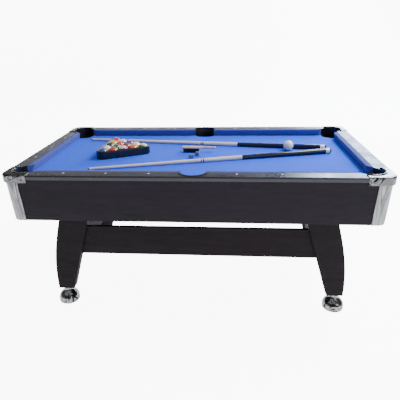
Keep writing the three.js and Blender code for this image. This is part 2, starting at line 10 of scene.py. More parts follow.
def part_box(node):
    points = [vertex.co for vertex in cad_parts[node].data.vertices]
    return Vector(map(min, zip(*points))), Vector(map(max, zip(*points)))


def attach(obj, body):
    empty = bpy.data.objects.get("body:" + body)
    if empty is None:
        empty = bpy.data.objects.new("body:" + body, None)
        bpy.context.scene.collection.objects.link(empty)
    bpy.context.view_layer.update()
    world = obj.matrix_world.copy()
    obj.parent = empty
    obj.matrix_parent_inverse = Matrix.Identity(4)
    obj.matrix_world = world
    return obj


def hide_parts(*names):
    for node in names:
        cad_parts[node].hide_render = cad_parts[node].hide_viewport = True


# A small home pool table: metres, +X to the right along the table, +Y to the back, +Z up, floor at zero.
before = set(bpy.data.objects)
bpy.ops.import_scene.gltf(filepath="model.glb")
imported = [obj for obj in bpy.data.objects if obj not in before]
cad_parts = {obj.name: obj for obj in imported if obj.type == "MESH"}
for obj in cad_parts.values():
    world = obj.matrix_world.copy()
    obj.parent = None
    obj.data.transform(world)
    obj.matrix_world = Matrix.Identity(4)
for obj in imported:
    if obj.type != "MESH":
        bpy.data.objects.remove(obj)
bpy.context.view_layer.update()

# ---- sizes shared by several pieces ----
MM = 0.001
HALF_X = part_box("back_right_corner_cap")[1].x
HALF_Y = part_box("back_right_corner_cap")[1].y
RAIL_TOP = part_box("front_rail")[1].z
CLOTH_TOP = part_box("bed_cloth")[1].z
CLOTH_X, CLOTH_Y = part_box("bed_cloth")[1].xy
RAIL_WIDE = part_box("front_rail")[1].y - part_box("front_rail")[0].y
CUSHION_DEEP = 27 * MM
WOOD_X, WOOD_Y = HALF_X - RAIL_WIDE, HALF_Y - RAIL_WIDE
NOSE_X, NOSE_Y = WOOD_X - CUSHION_DEEP, WOOD_Y - CUSHION_DEEP
JAW_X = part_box("back_right_cushion")[1].x - CUSHION_DEEP
SIGHT_STEP = NOSE_X / 4
CORNERS = [("front_left", -1, -1), ("front_right", 1, -1), ("back_left", -1, 1), ("back_right", 1, 1)]
SIDES = [("front", -1), ("back", 1)]
ENDS = [("left", -1), ("right", 1)]


# ---- shader groups ----
def shader_group(name, inputs, outputs):
    group = bpy.data.node_groups.new(name, "ShaderNodeTree")
    for label, default in inputs:
        socket = group.interface.new_socket(label, in_out="INPUT", socket_type="NodeSocketFloat")
        socket.default_value = default
    for label in outputs:
        group.interface.new_socket(label, in_out="OUTPUT", socket_type="NodeSocketFloat")
    return group, group.nodes.new("NodeGroupInput"), group.nodes.new("NodeGroupOutput")


def math_node(tree, kind, a, b=None, c=None):
    node = tree.nodes.new("ShaderNodeMath")
    node.operation = kind
    for socket, value in zip(node.inputs, (a, b, c)):
        if value is None:
            continue
        if isinstance(value, (int, float)):
            socket.default_value = value
        else:
            tree.links.new(value, socket)
    return node.outputs[0]


def object_coords(tree):
    return tree.nodes.new("ShaderNodeTexCoord").outputs["Object"]


def attribute(tree, name):
    node = tree.nodes.new("ShaderNodeAttribute")
    node.attribute_name = name
    return node.outputs


def noise_node(tree, coords, scale, detail=3, stretch=None, distortion=0.0):
    if stretch:
        mapping = tree.nodes.new("ShaderNodeMapping")
        mapping.inputs["Scale"].default_value = stretch
        tree.links.new(coords, mapping.inputs["Vector"])
        coords = mapping.outputs[0]
    node = tree.nodes.new("ShaderNodeTexNoise")
    node.inputs["Detail"].default_value = detail
    node.inputs["Distortion"].default_value = distortion
    tree.links.new(coords, node.inputs["Vector"])
    if isinstance(scale, (int, float)):
        node.inputs["Scale"].default_value = scale
    else:
        tree.links.new(scale, node.inputs["Scale"])
    return node.outputs["Fac"]


# Crossing threads with a fuzzy nap over them.
def weave_group():
    tree, start, end = shader_group("weave", [("Threads", 900.0), ("Nap", 0.5)], ["Height", "Shade"])
    coords = object_coords(tree)
    waves = []
    for axis in ("X", "Y"):
        wave = tree.nodes.new("ShaderNodeTexWave")
        wave.bands_direction = axis
        wave.inputs["Distortion"].default_value = 0.6
        tree.links.new(coords, wave.inputs["Vector"])
        tree.links.new(start.outputs["Threads"], wave.inputs["Scale"])
        waves.append(wave.outputs["Fac"])
    threads = math_node(tree, "MULTIPLY", waves[0], waves[1])
    fuzz = math_node(tree, "MULTIPLY", noise_node(tree, coords, 1400, 2), start.outputs["Nap"])
    tree.links.new(math_node(tree, "ADD", threads, fuzz), end.inputs["Height"])
    broad = math_node(tree, "MULTIPLY", noise_node(tree, coords, 3.2, 4), 0.55)
    fine = math_node(tree, "MULTIPLY", noise_node(tree, coords, 240), 0.45)
    tree.links.new(math_node(tree, "ADD", broad, fine), end.inputs["Shade"])
    return tree


# Faint smears and hairline scratches, as on anything polished that is handled.
def handling_group():
    tree, start, end = shader_group("handling", [("Smears", 6.0), ("Scratches", 90.0)], ["Smear", "Scratch"])
    coords = object_coords(tree)
    smear = noise_node(tree, coords, start.outputs["Smears"], 5)
    scratch = noise_node(tree, coords, start.outputs["Scratches"], 2, stretch=(0.06, 1.0, 1.0))
    tree.links.new(smear, end.inputs["Smear"])
    tree.links.new(math_node(tree, "POWER", scratch, 3), end.inputs["Scratch"])
    return tree


# Wood pores and figure along X.
def grain_group():
    tree, start, end = shader_group("grain", [("Figure", 22.0), ("Pores", 320.0)], ["Figure", "Pores"])
    coords = object_coords(tree)
    tree.links.new(noise_node(tree, coords, start.outputs["Figure"], 6, (0.09, 1, 1)), end.inputs["Figure"])
    tree.links.new(noise_node(tree, coords, start.outputs["Pores"], 2, (0.04, 1, 1)), end.inputs["Pores"])
    return tree


WEAVE, HANDLING, GRAIN = weave_group(), handling_group(), grain_group()


# ---- materials ----
def shader(name, rough, metallic=0.0, coat=0.0, coat_rough=0.1, sheen=0.0, specular=0.5):
    material = bpy.data.materials.new(name)
    material.use_nodes = True
    tree = material.node_tree
    principled = tree.nodes["Principled BSDF"]
    principled.inputs["Roughness"].default_value = rough
    principled.inputs["Metallic"].default_value = metallic
    principled.inputs["Coat Weight"].default_value = coat
    principled.inputs["Coat Roughness"].default_value = coat_rough
    principled.inputs["Sheen Weight"].default_value = sheen
    principled.inputs["Specular IOR Level"].default_value = specular
    return material, tree, principled


def placed(tree, group, **values):
    node = tree.nodes.new("ShaderNodeGroup")
    node.node_tree = group
    for label, value in values.items():
        node.inputs[label].default_value = value
    return node.outputs


def ramp(tree, fac, low, high, start=0.3, stop=0.7):
    node = tree.nodes.new("ShaderNodeValToRGB")
    node.color_ramp.elements[0].position = start
    node.color_ramp.elements[0].color = (*low, 1)
    node.color_ramp.elements[1].position = stop
    node.color_ramp.elements[1].color = (*high, 1)
    tree.links.new(fac, node.inputs["Fac"])
    return node.outputs["Color"]


# A colour ramp through tinted greys, each given as its place along the ramp and its level.
def grey_bands(tree, fac, bands, tint, interpolation="LINEAR"):
    node = tree.nodes.new("ShaderNodeValToRGB")
    node.color_ramp.interpolation = interpolation
    stops = node.color_ramp.elements
    stops[0].position, stops[1].position = bands[0][0], bands[-1][0]
    for place_along, _ in bands[1:-1]:
        stops.new(place_along)
    for stop, (_, level) in zip(stops, bands):
        stop.color = (*(level * share for share in tint), 1)
    tree.links.new(fac, node.inputs["Fac"])
    return node.outputs["Color"]


# Spreads the middle of a noise over a range of values.
def span(tree, fac, low, high):
    node = tree.nodes.new("ShaderNodeMapRange")
    node.inputs["From Min"].default_value = 0.3
    node.inputs["From Max"].default_value = 0.7
    node.inputs["To Min"].default_value = low
    node.inputs["To Max"].default_value = high
    tree.links.new(fac, node.inputs["Value"])
    return node.outputs[0]


def bump(tree, principled, height, strength, depth):
    node = tree.nodes.new("ShaderNodeBump")
    node.inputs["Strength"].default_value = strength
    node.inputs["Distance"].default_value = depth
    tree.links.new(height, node.inputs["Height"])
    tree.links.new(node.outputs["Normal"], principled.inputs["Normal"])


def shades(colour, spread):
    return [c * (1 - spread) for c in colour], [min(1, c * (1 + spread)) for c in colour]


def cloth_material(name, colour, spread=0.07):
    material, tree, principled = shader(name, rough=0.9, sheen=0.18, specular=0.15)
    principled.inputs["Sheen Roughness"].default_value = 0.45
    principled.inputs["Sheen Tint"].default_value = (0.45, 0.58, 1, 1)
    weave = placed(tree, WEAVE, Threads=900.0, Nap=0.7)
    low, high = shades(colour, spread)
    tree.links.new(ramp(tree, weave["Shade"], low, high), principled.inputs["Base Color"])
    bump(tree, principled, weave["Height"], 0.35, 0.0003)
    return material


def polished(name, colour, rough, coat=0.0, spread=0.04, smears=6.0):
    material, tree, principled = shader(name, rough, coat=coat, coat_rough=0.06)
    handling = placed(tree, HANDLING, Smears=smears, Scratches=90.0)
    low, high = shades(colour, spread)
    tree.links.new(ramp(tree, handling["Smear"], low, high), principled.inputs["Base Color"])
    tree.links.new(span(tree, handling["Smear"], rough * 0.75, rough * 1.3), principled.inputs["Roughness"])
    bump(tree, principled, handling["Scratch"], 0.012, 0.0002)
    return material


def wooden(name, colour, rough, spread, coat=0.0, emboss=0.15, specular=0.22):
    material, tree, principled = shader(name, rough, coat=coat, coat_rough=0.08, specular=specular)
    grain = placed(tree, GRAIN, Figure=22.0, Pores=320.0)
    low, high = shades(colour, spread)
    tree.links.new(ramp(tree, grain["Figure"], low, high), principled.inputs["Base Color"])
    tree.links.new(span(tree, grain["Pores"], rough * 0.85, rough * 1.2), principled.inputs["Roughness"])
    bump(tree, principled, grain["Pores"], emboss, 0.0003)
    return material


# Polished plating with painted reflections: soft dark and bright bands painted into its base colour stand in
# for what its mirror shows. Stretch draws them out.
def plated_with_painted_reflections(name, reflection_dark, reflection_bright, size, rough=0.06, stretch=None):
    material, tree, principled = shader(name, rough, metallic=1.0)
    noise = noise_node(tree, object_coords(tree), size, 1, stretch, distortion=1.6)
    # Levels of the painted reflection bands, dark and bright in turn.
    bands = [(0.36, reflection_dark), (0.44, reflection_bright), (0.50, reflection_dark * 1.6), (0.57, reflection_bright * 0.9), (0.66, reflection_bright * 0.6)]
    tree.links.new(grey_bands(tree, noise, bands, (1, 1.01, 1.04), "EASE"), principled.inputs["Base Color"])
    handling = placed(tree, HANDLING, Smears=30.0, Scratches=140.0)
    tree.links.new(span(tree, handling["Smear"], rough * 0.7, rough * 1.6), principled.inputs["Roughness"])
    bump(tree, principled, handling["Scratch"], 0.015, 0.0002)
    return material


bed_cloth = cloth_material("blue bed cloth", (0.026, 0.108, 0.88))
rail_cloth = cloth_material("blue rail cloth", (0.075, 0.092, 0.34))
rail_laminate = polished("black rail laminate", (0.010, 0.011, 0.020), 0.33, smears=9.0)
cabinet_laminate = wooden(
    "charcoal cabinet laminate", (0.0086, 0.0064, 0.0110), 0.6, 0.2, emboss=0.12, specular=0.16)
leg_laminate = wooden("charcoal leg laminate", (0.0088, 0.0060, 0.0084), 0.66, 0.2, emboss=0.1, specular=0.12)
# The caps, feet and trims get painted reflections: dark and bright bands in their base colour.
cap_chrome = plated_with_painted_reflections("corner cap chrome", 0.008, 0.20, 15.0, 0.12)
foot_chrome = plated_with_painted_reflections("foot chrome", 0.02, 0.36, 22.0)
trim_silver = plated_with_painted_reflections("satin silver trim", 0.08, 0.32, 17.0, 0.3, (1, 1, 0.12))
pocket_plastic = polished("pocket moulding", (0.006, 0.006, 0.009), 0.38, spread=0.2, smears=30.0)
raw_board = wooden("raw bed board", (0.45, 0.31, 0.17), 0.8, 0.2, emboss=0.3)
rack_plastic = polished("rack plastic", (0.008, 0.008, 0.010), 0.3, spread=0.2, smears=40.0)
pearl = polished("pearl sight", (0.95, 0.94, 0.92), 0.3, coat=0.3, smears=120.0)
shaft_maple = wooden("shaft maple", (0.84, 0.76, 0.64), 0.25, 0.08, coat=0.6, emboss=0.05)
butt_lacquer = wooden("butt lacquer", (0.004, 0.006, 0.026), 0.15, 0.4, coat=0.6, emboss=0.02)
cue_white = polished("cue collar", (0.84, 0.83, 0.79), 0.2, coat=0.4)
cue_rubber = polished("cue bumper", (0.010, 0.010, 0.010), 0.7)
cue_leather = cloth_material("cue tip leather", (0.08, 0.17, 0.30))
brush_wood = wooden("brush wood", (0.66, 0.47, 0.26), 0.4, 0.16, coat=0.3)
bristle_hair = polished("bristle hair", (0.012, 0.016, 0.015), 0.6, spread=0.3, smears=60.0)
chalk_blue = cloth_material("chalk cake", (0.09, 0.20, 0.42), 0.16)
chalk_paper = polished("chalk wrap", (0.13, 0.17, 0.30), 0.6, spread=0.15, smears=90.0)


# Ball resin takes its colour, and whether it is striped, from each ball's own attributes.
def ball_material():
    material, tree, principled = shader("ball resin", 0.07, coat=1.0, coat_rough=0.03)
    axes = tree.nodes.new("ShaderNodeSeparateXYZ")
    tree.links.new(attribute(tree, "ball_place")["Vector"], axes.inputs[0])
    outside = math_node(tree, "GREATER_THAN", math_node(tree, "ABSOLUTE", axes.outputs["Z"]), 0.6)
    band = math_node(tree, "MULTIPLY", outside, attribute(tree, "striped")["Fac"])
    spot = math_node(tree, "GREATER_THAN", axes.outputs["X"], 0.95)
    white = math_node(tree, "MAXIMUM", band, spot)
    mix = tree.nodes.new("ShaderNodeMix")
    mix.data_type = "RGBA"
    tree.links.new(white, mix.inputs["Factor"])
    tree.links.new(attribute(tree, "ball_colour")["Color"], mix.inputs["A"])
    mix.inputs["B"].default_value = (0.86, 0.83, 0.74, 1)
    tree.links.new(mix.outputs["Result"], principled.inputs["Base Color"])
    handling = placed(tree, HANDLING, Smears=40.0, Scratches=200.0)
    tree.links.new(span(tree, handling["Smear"], 0.05, 0.11), principled.inputs["Roughness"])
    return material


ball_resin = ball_material()
cue_ball_resin = polished("cue ball resin", (0.86, 0.84, 0.77), 0.07, coat=1.0, spread=0.03, smears=50.0)


# ---- mesh helpers ----
# Makes a piece from its points and faces. Paint gives each face the number of its material.
def build(name, verts, faces, materials, body, nodes, paint=None, edge=40):
    mesh = bpy.data.meshes.new(name)
    mesh.from_pydata([tuple(v) for v in verts], [], faces)
    for material in materials:
        mesh.materials.append(material)
    if paint:
        for polygon, index in zip(mesh.polygons, paint):
            polygon.material_index = index
    bm = bmesh.new()
    bm.from_mesh(mesh)
    bmesh.ops.recalc_face_normals(bm, faces=bm.faces)
    bm.to_mesh(mesh)
    bm.free()
    return settle(linked(name, mesh, edge), body, nodes)


# Puts a mesh in the scene with smooth faces, and creases where they turn by more than the edge angle.
def linked(name, mesh, edge):
    mesh.shade_smooth()
    mesh.set_sharp_from_angle(angle=math.radians(edge))
    piece = bpy.data.objects.new(name, mesh)
    bpy.context.scene.collection.objects.link(piece)
    return piece


def settle(piece, body, nodes):
    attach(piece, body)
    if nodes:
        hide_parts(*nodes)
    return piece


def round_edges(piece, name, width, angle):
    rounding = piece.modifiers.new(name, "BEVEL")
    rounding.width = width
    rounding.segments = 3
    rounding.limit_method = "ANGLE"
    rounding.angle_limit = math.radians(angle)


# Skins a row of equal rings. Each ring closes on itself; the row closes too, or ends in flat faces.
def loft(rings, loop=False):
    count = len(rings[0])
    verts = [v for ring in rings for v in ring]
    faces = []
    for r in range(len(rings) if loop else len(rings) - 1):
        a, b = r * count, ((r + 1) % len(rings)) * count
        faces += [(a + i, a + (i + 1) % count, b + (i + 1) % count, b + i) for i in range(count)]
    if not loop:
        faces.append(tuple(range(count))[::-1])
        faces.append(tuple(len(verts) - count + i for i in range(count)))
    return verts, faces


# Turns a profile, given as radius and distance along the axis, into a round solid.
def turned(profile, centre, axis, around):
    side = axis.orthogonal().normalized()
    other = axis.cross(side)
    rings = []
    for radius, along in profile:
        hub = centre + axis * along
        angles = [2 * math.pi * i / around for i in range(around)]
        rings.append([hub + radius * (math.cos(a) * side + math.sin(a) * other) for a in angles])
    return loft(rings)


EASED_STEPS = 4


# A smooth profile through points, by Catmull-Rom.
def eased(points):
    out = []
    extended = [points[0], *points, points[-1]]
    for p0, p1, p2, p3 in zip(extended, extended[1:], extended[2:], extended[3:]):
        for step in range(EASED_STEPS):
            t = step / EASED_STEPS
            place = []
            for a, b, c, d in zip(p0, p1, p2, p3):
                squared = (2 * a - 5 * b + 4 * c - d) * t * t
                cubed = (3 * b - a - 3 * c + d) * t ** 3
                place.append(0.5 * (2 * b + (c - a) * t + squared + cubed))
            out.append(tuple(place))
    return [*out, points[-1]]


def arc(cx, cy, radius, start, stop, steps):
    angles = [math.radians(start + (stop - start) * i / steps) for i in range(steps + 1)]
    return [(cx + radius * math.cos(a), cy + radius * math.sin(a)) for a in angles]


# The same number of places on any outline, at equal spaces along it.
def spread_evenly(path, count):
    points = np.array(path, float)
    lengths = np.r_[0, np.cumsum(np.hypot(*np.diff(points, axis=0).T))]
    want = np.linspace(0, lengths[-1], count)
    return list(zip(np.interp(want, lengths, points[:, 0]), np.interp(want, lengths, points[:, 1])))


# A copy of a panel node with its edges eased.
def eased_panel(node, material, radius):
    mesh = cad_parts[node].data.copy()
    mesh.materials.clear()
    mesh.materials.append(material)
    bm = bmesh.new()
    bm.from_mesh(mesh)
    bmesh.ops.remove_doubles(bm, verts=bm.verts, dist=1e-5)
    bmesh.ops.dissolve_limit(bm, angle_limit=math.radians(1), verts=bm.verts, edges=bm.edges)
    bm.to_mesh(mesh)
    bm.free()
    piece = linked(node + "_panel", mesh, edge=40)
    round_edges(piece, "eased edges", radius, 50)
    return settle(piece, "table", (node,))


# ---- bed cloth ----
CLOTH_THICK = 1.5 * MM
CORNER_CUT = 58.9 * MM
MIDDLE_CUT_X, MIDDLE_CUT_Y = 63.8 * MM, 43.8 * MM
MIDDLE_CUT_SET_BACK = 18 * MM


# One quarter of the cloth's outline, from the middle pocket round to the end's middle. The corner's cut is
# the same on both sides of the diagonal, and goes the long way round.
def cloth_quarter():
    middle_y = NOSE_Y + MIDDLE_CUT_SET_BACK
    angles = np.linspace(math.pi / 2, 0, 24)
    quarter = [(MIDDLE_CUT_X * math.cos(a), middle_y - MIDDLE_CUT_Y * math.sin(a)) for a in angles]
    quarter.append((MIDDLE_CUT_X, CLOTH_Y))
    reach = math.sqrt(CORNER_CUT ** 2 - (CLOTH_Y - NOSE_Y) ** 2)
    begin = math.degrees(math.atan2(CLOTH_Y - NOSE_Y, -reach))
    quarter += arc(NOSE_X, NOSE_Y, CORNER_CUT, begin, 450 - begin, 40)
    return [*quarter, (CLOTH_X, 0.0)]


def make_bed_cloth():
    quarter = cloth_quarter()
    doubled = []
    for sx, sy, order in ((1, 1, 1), (1, -1, -1), (-1, -1, 1), (-1, 1, -1)):
        doubled += [(sx * x, sy * y) for x, y in quarter[::order]]
    # Where two quarters meet, their shared point is kept once.
    outline = [p for i, p in enumerate(doubled) if math.dist(p, doubled[i - 1]) > 0.05 * MM]
    top = [(x, y, CLOTH_TOP) for x, y in outline]
    low = [(x, y, CLOTH_TOP - CLOTH_THICK) for x, y in outline]
    verts, faces = loft([low, top])
    piece = build("bed_cloth_sheet", verts, faces, [bed_cloth], "table", ("bed_cloth",), edge=30)


make_bed_cloth()


# ---- cushions ----
# Distance out from the wood, and height above the cloth, in millimetres.
CUSHION_SECTION = [
    (0.4, 0.6), (0.4, 38.6), (0.9, 39.6), (1.8, 39.2), (3.0, 39.9), (8.0, 40.1), (15.0, 40.1), (21.0, 39.8),
    (24.6, 39.2), (26.4, 38.0), (27.0, 36.4), (26.7, 34.6), (25.2, 30.0), (21.6, 20.0), (18.2, 10.5),
    (16.2, 5.0), (14.6, 1.8), (13.6, 0.6),
]
CUSHION_STATIONS = 48
RIPPLE, RIPPLE_HALF_WAVES = 0.12, 9
MIDDLE_MOUTH, MIDDLE_MOUTH_FLARE = 66 * MM, 6 * MM
JAW_Y = NOSE_Y - (NOSE_X - JAW_X)


# First and last give where the cushion starts and ends at a distance out from the wood.
def cushion(name, node, first, last, place_point):
    rings = []
    for s in range(CUSHION_STATIONS + 1):
        t = s / CUSHION_STATIONS
        ring = []
        for out, up in CUSHION_SECTION:
            ripple = RIPPLE * math.sin(RIPPLE_HALF_WAVES * t * math.pi) * (out * MM / CUSHION_DEEP)
            along = first(out * MM) * (1 - t) + last(out * MM) * t
            ring.append(place_point(along, out * MM, CLOTH_TOP + (up + ripple) * MM))
        rings.append(ring)
    verts, faces = loft(rings)
    piece = build(name, verts, faces, [rail_cloth], "table", (node,), edge=48)
    round_edges(piece, "wrapped ends", 1.2 * MM, 55)


for where, sx, sy in CORNERS:
    cushion(
        f"{where}_cushion_rubber",
        f"{where}_cushion",
        lambda out: MIDDLE_MOUTH - MIDDLE_MOUTH_FLARE * out / CUSHION_DEEP,
        lambda out: JAW_X + CUSHION_DEEP - out,
        lambda along, out, z: (sx * along, sy * (WOOD_Y - out), z),
    )
for where, sx in ENDS:
    cushion(
        f"{where}_end_cushion_rubber",
        f"{where}_end_cushion",
        lambda out: -(JAW_Y + CUSHION_DEEP - out),
        lambda out: JAW_Y + CUSHION_DEEP - out,
        lambda along, out, z: (sx * (WOOD_X - out), along, z),
    )


# ---- corner caps ----
CAP_TOP = RAIL_TOP + 3 * MM
CAP_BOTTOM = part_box("front_left_corner_cap")[0].z
CAP_WING = 130 * MM
CAP_ROUND = 50 * MM
CAP_HOLE = 58.6 * MM
CAP_STATIONS = 140
CAP_WALL = 3.5 * MM
CAP_CEILING = CAP_TOP - 8 * MM
CAP_EDGE = 6 * MM
# The bead round the pocket: millimetres in from its outer foot, and above the cap's top.
BEAD = [(0.9, 0.9), (2.0, 2.6), (3.4, 4.0), (5.2, 4.6), (7.0, 4.2), (8.5, 3.0), (9.3, 1.2), (9.5, -1.0)]
BEAD_WIDE = BEAD[-1][0] * MM


# A rounded corner seen from above, with a straight wing at each end.
def corner_path(x, y, radius, wing):
    return [(x - wing, y), *arc(x - radius, y - radius, radius, 90, 0, 32), (x, y - wing)]


# The cap's section, from its outer skirt over the top and the bead, down the hole and back along the inside.
def cap_section(width):
    rim = width - BEAD_WIDE
    section = [(0, CAP_BOTTOM), (0.0, CAP_TOP - 9 * MM)]
    bends = np.linspace(0, 1.57, 9)
    section += [(CAP_EDGE * (1 - math.cos(a)), CAP_TOP - CAP_EDGE * (1 - math.sin(a))) for a in bends]
    section += [(rim * 0.5, CAP_TOP + 0.3 * MM), (rim, CAP_TOP)]
    section += [(rim + d * MM, CAP_TOP + h * MM) for d, h in BEAD]
    section += [(width, CAP_BOTTOM), (width - CAP_WALL, CAP_BOTTOM), (width - CAP_WALL, CAP_CEILING)]
    return [*section, (CAP_WALL, CAP_CEILING), (CAP_WALL, CAP_BOTTOM)]


def make_cap(where, sx, sy):
    outer = spread_evenly(corner_path(HALF_X, HALF_Y, CAP_ROUND, CAP_WING), CAP_STATIONS)
    inset = CAP_WING - (HALF_X - NOSE_X)
    begin = math.degrees(math.atan2(math.sqrt(CAP_HOLE ** 2 - inset ** 2), -inset))
    inner = arc(NOSE_X, NOSE_Y, CAP_HOLE, begin, 90 - begin, CAP_STATIONS - 1)
    rings = []
    for (ox, oy), (ix, iy) in zip(outer, inner):
        width = math.dist((ox, oy), (ix, iy))
        ring = []
        for d, z in cap_section(width):
            share = d / width
            ring.append((sx * (ox + (ix - ox) * share), sy * (oy + (iy - oy) * share), z))
        rings.append(ring)
    verts, faces = loft(rings)
    node = f"{where}_corner_cap"
    build(f"{where}_cap_shell", verts, faces, [cap_chrome], "table", (node,), edge=35)


for corner in CORNERS:
    make_cap(*corner)


# ---- corner trims ----
TRIM_LOW, TRIM_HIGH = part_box("front_left_corner_trim")[0].z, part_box("front_left_corner_trim")[1].z
TRIM_TOP_X, TRIM_TOP_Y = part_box("back_right_corner_trim")[1].xy
TRIM_LEAN = 6 * MM
TRIM_THICK = 3 * MM
TRIM_ROUND = 48 * MM
TRIM_WING = 74 * MM
TRIM_EDGE = 0.9 * MM
TRIM_STATIONS = 160
FLUTE_DEEP = 1.5


# Depth of the moulded flutes at a place along the trim's plan, as a share of its whole width.
def flute(share):
    depth = 0.0
    for middle in (0.16, 0.34, 0.66, 0.84):
        depth += FLUTE_DEEP * math.exp(-(((share - middle) / 0.03) ** 2))
    return min(depth, FLUTE_DEEP) * MM


def make_trim(where, sx, sy):
    rings = []
    for z_share in np.linspace(0, 1, 13):
        z = TRIM_LOW + (TRIM_HIGH - TRIM_LOW) * z_share
        inwards = TRIM_LEAN * (1 - z_share)
        x, y = TRIM_TOP_X - inwards, TRIM_TOP_Y - inwards
        face, back_face = (
            spread_evenly(corner_path(x - deep, y - deep, TRIM_ROUND - deep, TRIM_WING - deep), TRIM_STATIONS)
            for deep in (0, TRIM_THICK)
        )
        ends = TRIM_EDGE if z_share in (0.0, 1.0) else 0.0
        ring = []
        for i, ((ox, oy), (ix, iy)) in enumerate(zip(face, back_face)):
            share = i / (TRIM_STATIONS - 1)
            back = (flute(share) + ends + TRIM_EDGE * (share in (0.0, 1.0))) / TRIM_THICK
            ring.append((sx * (ox + (ix - ox) * back), sy * (oy + (iy - oy) * back), z))
        ring += [(sx * ix, sy * iy, z) for ix, iy in back_face[::-1]]
        rings.append(ring)
    verts, faces = loft(rings)
    name = f"{where}_trim_moulding"
    build(name, verts, faces, [trim_silver], "table", (f"{where}_corner_trim",), edge=50)


for corner in CORNERS:
    make_trim(*corner)

# ---- cabinet panels, legs and stretchers ----
for where, _ in SIDES + ENDS:
    eased_panel(f"{where}_apron", cabinet_laminate, 1.0 * MM)
for where, _, _ in CORNERS:
    eased_panel(f"{where}_leg", leg_laminate, 2.2 * MM)
for where in ("front", "back", "left_end", "right_end"):
    eased_panel(f"{where}_stretcher", leg_laminate, 1.4 * MM)


# ---- levelling feet ----
# Radius and height in millimetres, from the edge of the sole up to the neck, then the bare stud.
FOOT_PROFILE = [
    (48, 0), (52, 0.6), (54.6, 2.2), (56, 5), (56, 12), (56, 19), (55.6, 26), (54, 33), (51, 40), (46, 47.5),
    (39.5, 54.5), (32, 61), (26, 67), (22.5, 73), (21, 79), (20.5, 84), (19.2, 87.2), (17.5, 88),
]
STUD = [(6, 88.05), (6, 133.0), (5, 134), (0, 134)]
SOLE_RADIUS = 47.9
FOOT_SIDES = 96


def make_foot(where, sx, sy):
    low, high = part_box(f"{where}_levelling_foot")
    centre = Vector(((low.x + high.x) / 2, (low.y + high.y) / 2, 0))
    cup = [(0, 0), (SOLE_RADIUS, 0), *eased(FOOT_PROFILE)[1:]]
    profile = [(max(r, 0.01) * MM, z * MM) for r, z in cup + STUD]
    verts, faces = turned(profile, centre, Vector((0, 0, 1)), FOOT_SIDES)
    node = f"{where}_levelling_foot"
    build(f"{where}_foot_cup", verts, faces, [foot_chrome], f"{where}_foot", (node,))


for corner in CORNERS:
    make_foot(*corner)

# ---- balls ----
BALL = 57.2 * MM
ROW_STEP = BALL * math.sin(math.radians(60))
BALL_ROWS = 5
# From the triangle's middle out to its point, in rows.
POINT_ROWS_OUT = 8 / 3
BALL_HEIGHTS, BALL_SIDES = 32, 64
STRIPED = (2, 6, 9, 12, 14)
# From the rack's point, row by row.
BALL_COLOURS = [
    (0.62, 0.035, 0.02), (0.86, 0.48, 0.02), (0.02, 0.05, 0.36), (0.012, 0.012, 0.014), (0.70, 0.05, 0.03),
    (0.15, 0.02, 0.26), (0.80, 0.17, 0.02), (0.01, 0.16, 0.06), (0.24, 0.02, 0.03), (0.86, 0.48, 0.02),
    (0.02, 0.05, 0.36), (0.62, 0.035, 0.02), (0.15, 0.02, 0.26), (0.80, 0.17, 0.02), (0.01, 0.16, 0.06),
]
RACK_TURN = math.radians(26.4)


# A ball's points and faces, and the same points on a ball of radius one before it is tilted.
def ball_shape(centre, tilt):
    rings = []
    for row in range(BALL_HEIGHTS + 1):
        lift = math.pi * row / BALL_HEIGHTS
        radius = max(math.sin(lift), 1e-4)
        ring = []
        for step in range(BALL_SIDES):
            a = 2 * math.pi * step / BALL_SIDES
            ring.append(Vector((radius * math.cos(a), radius * math.sin(a), -math.cos(lift))))
        rings.append(ring)
    verts, faces = loft(rings)
    return [centre + tilt @ (v * BALL / 2) for v in verts], faces, verts


# The middle of a flat box round some points.
def middle_of(points):
    xs = [p.x for p in points]
    ys = [p.y for p in points]
    return Vector(((min(xs) + max(xs)) / 2, (min(ys) + max(ys)) / 2, 0))


# Makes the fifteen balls, and gives the place that the triangle turns about.
def make_racked_balls():
    spin = Matrix.Rotation(RACK_TURN, 3, "Z")
    places = []
    for row in range(BALL_ROWS):
        y = (POINT_ROWS_OUT - row) * ROW_STEP
        places += [spin @ Vector(((i - row / 2) * BALL, y, 0)) for i in range(row + 1)]
    hub = middle_of([v.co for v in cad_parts["object_balls"].data.vertices]) - middle_of(places)
    lifted = Vector((0, 0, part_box("cue_ball")[0].z + BALL / 2))
    seeded = random.Random(11)
    verts, faces, colours, own_places, stripes = [], [], [], [], []
    for number, place in enumerate(places):
        heading = Matrix.Rotation(seeded.uniform(0, 6.28), 3, "Z")
        tilt = Matrix.Rotation(seeded.uniform(-0.4, 0.4), 3, "X")
        points, ball_faces, raw = ball_shape(hub + place + lifted, heading @ tilt)
        base = len(verts)
        verts += points
        faces += [tuple(base + i for i in face) for face in ball_faces]
        colours += [BALL_COLOURS[number]] * len(points)
        own_places += raw
        stripes += [float(number in STRIPED)] * len(points)
    node = "object_balls"
    mesh = build("racked_balls", verts, faces, [ball_resin], node, (node,)).data
    tint = mesh.attributes.new("ball_colour", "FLOAT_COLOR", "POINT")
    tint.data.foreach_set("color", np.array([[*c, 1] for c in colours], "f").ravel())
    local = mesh.attributes.new("ball_place", "FLOAT_VECTOR", "POINT")
    local.data.foreach_set("vector", np.array([tuple(v) for v in own_places], "f").ravel())
    banded = mesh.attributes.new("striped", "FLOAT", "POINT")
    banded.data.foreach_set("value", np.array(stripes, "f"))
    return hub


def make_cue_ball():
    low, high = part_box("cue_ball")
    verts, faces, _ = ball_shape((low + high) / 2, Matrix.Identity(3))
    build("white_ball", verts, faces, [cue_ball_resin], "cue_ball", ("cue_ball",))


rack_middle = make_racked_balls()
make_cue_ball()


